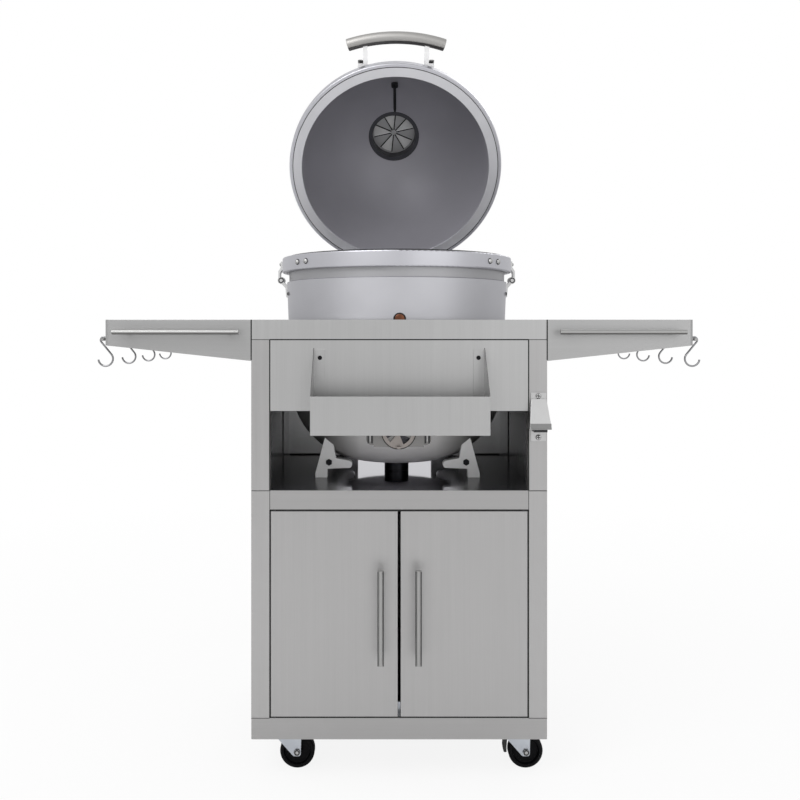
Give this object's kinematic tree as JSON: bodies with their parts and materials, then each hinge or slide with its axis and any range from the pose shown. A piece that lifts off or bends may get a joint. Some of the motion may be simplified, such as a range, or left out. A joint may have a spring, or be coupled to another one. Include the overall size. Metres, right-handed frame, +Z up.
{
  "type": "kamado grill table",
  "caption": "Kamado grill on a stainless steel rolling cart with doors, open bay, side shelves with towel bars and S hooks, condiment tray and hinged lid.",
  "frame": {"origin": "on the floor under the middle of the whole object's box, lid open", "axes": "+Z up, +X to the right seen from the front, the doors face -Y"},
  "size_m": [1.2832, 0.8915, 1.6882],
  "materials": {
    "cart_steel": "vertical brushed stainless",
    "liner_steel": "polished dark stainless",
    "door_steel": "brushed stainless",
    "bar_steel": "satin bar",
    "plated_zinc": "bright plated casting",
    "bolt_steel": "plain stainless",
    "caster_zinc": "zinc plated",
    "wheel_rubber": "black",
    "pedal_plastic": "black",
    "hook_wire": "polished wire",
    "cast_body": "satin casting",
    "hoop_metal": "satin",
    "gasket_felt": "black felt",
    "cast_bracket": "cast",
    "drain_black": "black",
    "vent_cast": "cast",
    "grid_rod": "polished rod",
    "grip_steel": "brushed tube",
    "gauge_steel": "polished"
  },
  "bodies": {
    "cart": {"base_pan": "cart_steel", "lower_side_panels": "cart_steel", "upper_side_panels": "cart_steel", "back_panel": "cart_steel", "bay_floor": "cart_steel", "bay_liners": "liner_steel", "apron": "cart_steel", "top_deck": "cart_steel", "shelf_right": "cart_steel", "shelf_left": "cart_steel", "towel_bars": "bar_steel", "hook_rails": "bar_steel", "condiment_tray": "cart_steel", "bottle_opener": "plated_zinc", "door_pins": "bolt_steel", "door_catch": "plated_zinc", "caster_mounts": "caster_zinc", "bowl": "cast_body", "bowl_band": "hoop_metal", "rim_gasket": "gasket_felt", "side_brackets": "cast_bracket", "grill_feet": "cast_bracket", "drain_tube": "drain_black", "draft_housing": "cast_bracket", "charcoal_grate": "grid_rod", "hinge_base": "bolt_steel", "screws_and_bolts": "bolt_steel"},
    "lid": {"lid_shell": "cast_body", "lid_band": "hoop_metal", "lid_handle": "grip_steel", "handle_brackets": "grip_steel", "thermometer": "gauge_steel", "vent_base": "vent_cast", "hinge_arm": "bolt_steel"},
    "top_damper": {"vent_damper": "vent_cast"},
    "pointer": {"thermometer_pointer": "gauge_steel"},
    "grid": {"cooking_grid": "grid_rod"},
    "lower_damper": {"draft_damper": "vent_cast"},
    "right_door": {"door_right": "door_steel", "door_handle_right": "bar_steel"},
    "left_door": {"door_left": "door_steel", "door_handle_left": "bar_steel"},
    "fork_front_left": {"caster_fork_front_left": "caster_zinc"},
    "wheel_front_left": {"caster_wheel_front_left": "wheel_rubber"},
    "fork_front_right": {"caster_fork_front_right": "caster_zinc"},
    "wheel_front_right": {"caster_wheel_front_right": "wheel_rubber"},
    "pedal_front": {"brake_pedal_front": "pedal_plastic"},
    "fork_rear_left": {"caster_fork_rear_left": "caster_zinc"},
    "wheel_rear_left": {"caster_wheel_rear_left": "wheel_rubber"},
    "fork_rear_right": {"caster_fork_rear_right": "caster_zinc"},
    "wheel_rear_right": {"caster_wheel_rear_right": "wheel_rubber"},
    "pedal_rear": {"brake_pedal_rear": "pedal_plastic"},
    "hook_right_1": {"s_hook_right_1": "hook_wire"},
    "hook_right_2": {"s_hook_right_2": "hook_wire"},
    "hook_right_3": {"s_hook_right_3": "hook_wire"},
    "hook_right_4": {"s_hook_right_4": "hook_wire"},
    "hook_left_1": {"s_hook_left_1": "hook_wire"},
    "hook_left_2": {"s_hook_left_2": "hook_wire"},
    "hook_left_3": {"s_hook_left_3": "hook_wire"},
    "hook_left_4": {"s_hook_left_4": "hook_wire"}
  },
  "joints": [
    {"name": "lid_hinge", "type": "hinge", "parent": "cart", "child": "lid", "pos_m": [0, 0.24551, 1.1063], "axis": [-1, 0, 0], "range_deg": [-60.5, 0]},
    {"name": "top_damper_turn", "type": "hinge", "parent": "lid", "child": "top_damper", "pos_m": [0, 0.4062, 1.52696], "axis": [0, 0.8704, 0.4924], "range_deg": [-36, 0]},
    {"name": "pointer_turn", "type": "hinge", "parent": "lid", "child": "pointer", "pos_m": [0, 0.23371, 1.64298], "axis": [0, -0.2444, -0.9697], "range_deg": [0, 260]},
    {"name": "grid_lift", "type": "slide", "parent": "cart", "child": "grid", "axis": [0, 0, 1], "range_m": [0, 0.12]},
    {"name": "lower_damper_turn", "type": "hinge", "parent": "cart", "child": "lower_damper", "pos_m": [0, -0.29649, 0.731], "axis": [0, -1, 0], "range_deg": [-20, 40]},
    {"name": "right_door_hinge", "type": "hinge", "parent": "cart", "child": "right_door", "pos_m": [0.262, -0.34149, 0.138], "axis": [0, 0, 1], "range_deg": [0, 105]},
    {"name": "left_door_hinge", "type": "hinge", "parent": "cart", "child": "left_door", "pos_m": [-0.262, -0.34149, 0.138], "axis": [0, 0, -1], "range_deg": [0, 105]},
    {"name": "swivel_front_left", "type": "hinge", "parent": "cart", "child": "fork_front_left", "pos_m": [-0.2476, -0.27149, 0.1], "axis": [0, 0, 1], "continuous": true},
    {"name": "roll_front_left", "type": "hinge", "parent": "fork_front_left", "child": "wheel_front_left", "pos_m": [-0.2196, -0.27149, 0.0375], "axis": [0, 1, 0], "continuous": true},
    {"name": "swivel_front_right", "type": "hinge", "parent": "cart", "child": "fork_front_right", "pos_m": [0.2476, -0.27149, 0.1], "axis": [0, 0, 1], "continuous": true},
    {"name": "roll_front_right", "type": "hinge", "parent": "fork_front_right", "child": "wheel_front_right", "pos_m": [0.2756, -0.27149, 0.0375], "axis": [0, 1, 0], "continuous": true},
    {"name": "pedal_front_press", "type": "hinge", "parent": "fork_front_right", "child": "pedal_front", "pos_m": [0.2326, -0.27149, 0.072], "axis": [0, -1, 0], "range_deg": [0, 5]},
    {"name": "swivel_rear_left", "type": "hinge", "parent": "cart", "child": "fork_rear_left", "pos_m": [-0.2476, 0.18851, 0.1], "axis": [0, 0, 1], "continuous": true},
    {"name": "roll_rear_left", "type": "hinge", "parent": "fork_rear_left", "child": "wheel_rear_left", "pos_m": [-0.2196, 0.18851, 0.0375], "axis": [0, 1, 0], "continuous": true},
    {"name": "swivel_rear_right", "type": "hinge", "parent": "cart", "child": "fork_rear_right", "pos_m": [0.2476, 0.18851, 0.1], "axis": [0, 0, 1], "continuous": true},
    {"name": "roll_rear_right", "type": "hinge", "parent": "fork_rear_right", "child": "wheel_rear_right", "pos_m": [0.2756, 0.18851, 0.0375], "axis": [0, 1, 0], "continuous": true},
    {"name": "pedal_rear_press", "type": "hinge", "parent": "fork_rear_right", "child": "pedal_rear", "pos_m": [0.2326, 0.18851, 0.072], "axis": [0, -1, 0], "range_deg": [0, 5]},
    {"name": "hook_right_1_swing", "type": "hinge", "parent": "cart", "child": "hook_right_1", "pos_m": [0.6285, -0.32049, 0.93], "axis": [0, -1, 0], "range_deg": [-14, 60]},
    {"name": "hook_right_2_swing", "type": "hinge", "parent": "cart", "child": "hook_right_2", "pos_m": [0.6285, -0.13449, 0.93], "axis": [0, -1, 0], "range_deg": [-14, 60]},
    {"name": "hook_right_3_swing", "type": "hinge", "parent": "cart", "child": "hook_right_3", "pos_m": [0.6285, 0.05151, 0.93], "axis": [0, -1, 0], "range_deg": [-14, 60]},
    {"name": "hook_right_4_swing", "type": "hinge", "parent": "cart", "child": "hook_right_4", "pos_m": [0.6285, 0.23751, 0.93], "axis": [0, -1, 0], "range_deg": [-14, 60]},
    {"name": "hook_left_1_swing", "type": "hinge", "parent": "cart", "child": "hook_left_1", "pos_m": [-0.6285, -0.32049, 0.93], "axis": [0, 1, 0], "range_deg": [-14, 60]},
    {"name": "hook_left_2_swing", "type": "hinge", "parent": "cart", "child": "hook_left_2", "pos_m": [-0.6285, -0.13449, 0.93], "axis": [0, 1, 0], "range_deg": [-14, 60]},
    {"name": "hook_left_3_swing", "type": "hinge", "parent": "cart", "child": "hook_left_3", "pos_m": [-0.6285, 0.05151, 0.93], "axis": [0, 1, 0], "range_deg": [-14, 60]},
    {"name": "hook_left_4_swing", "type": "hinge", "parent": "cart", "child": "hook_left_4", "pos_m": [-0.6285, 0.23751, 0.93], "axis": [0, 1, 0], "range_deg": [-14, 60]}
  ]
}
